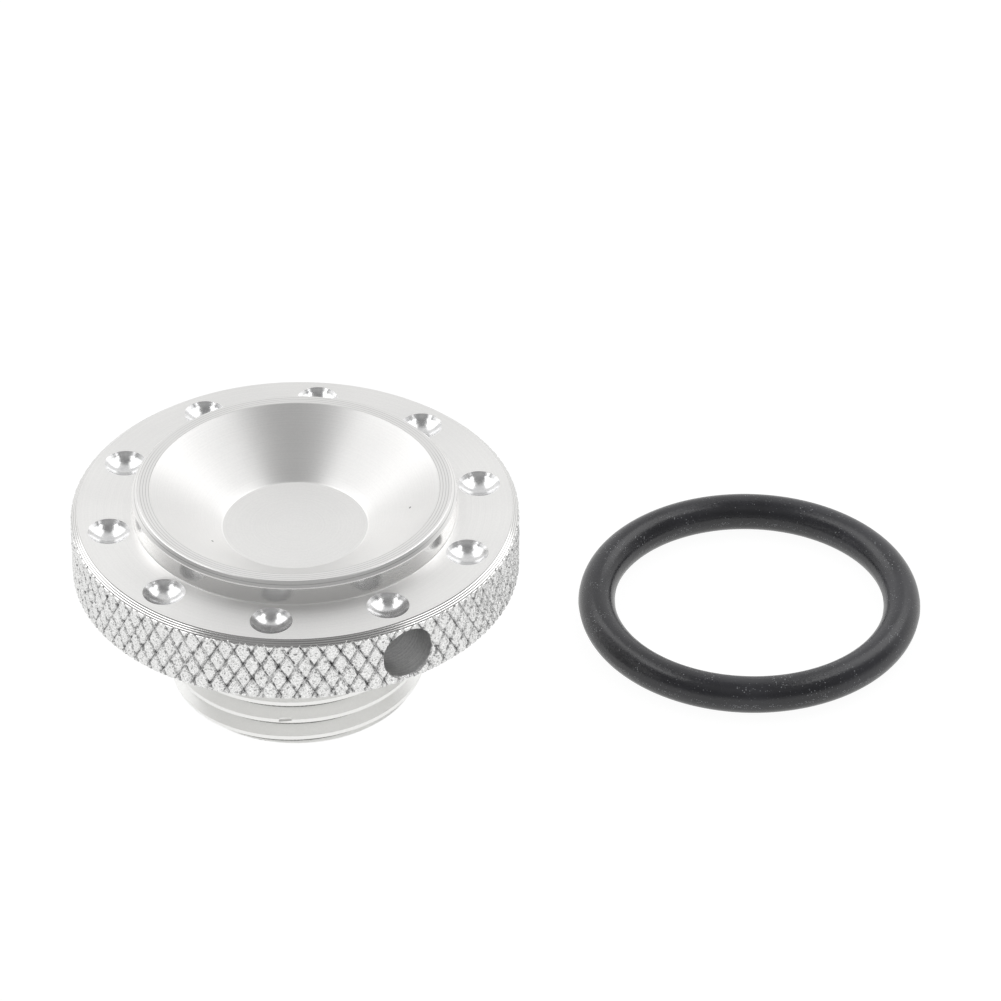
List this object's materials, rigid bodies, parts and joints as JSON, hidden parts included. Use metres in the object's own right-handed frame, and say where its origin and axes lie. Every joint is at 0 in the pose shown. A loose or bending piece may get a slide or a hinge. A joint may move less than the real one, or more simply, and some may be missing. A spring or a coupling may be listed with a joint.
{
  "type": "oil filler plug",
  "caption": "Knurled aluminium oil filler plug with a dished boss, a ring of dimples and a metric thread, and its rubber seal ring lying beside it.",
  "frame": {"origin": "centre of the flat end of the threaded shank, on the plug's axis", "axes": "+Z along the plug's axis, from the end of the thread to the dished boss; the seal ring lies towards +X"},
  "size_m": [0.0806, 0.0466, 0.022],
  "materials": {
    "machined_aluminium": "bright turned, with fine tool marks",
    "black_rubber": "moulded, slightly dusty"
  },
  "bodies": {
    "root": {"plug_body": "machined_aluminium", "seal_ring": "black_rubber"}
  },
  "joints": []
}
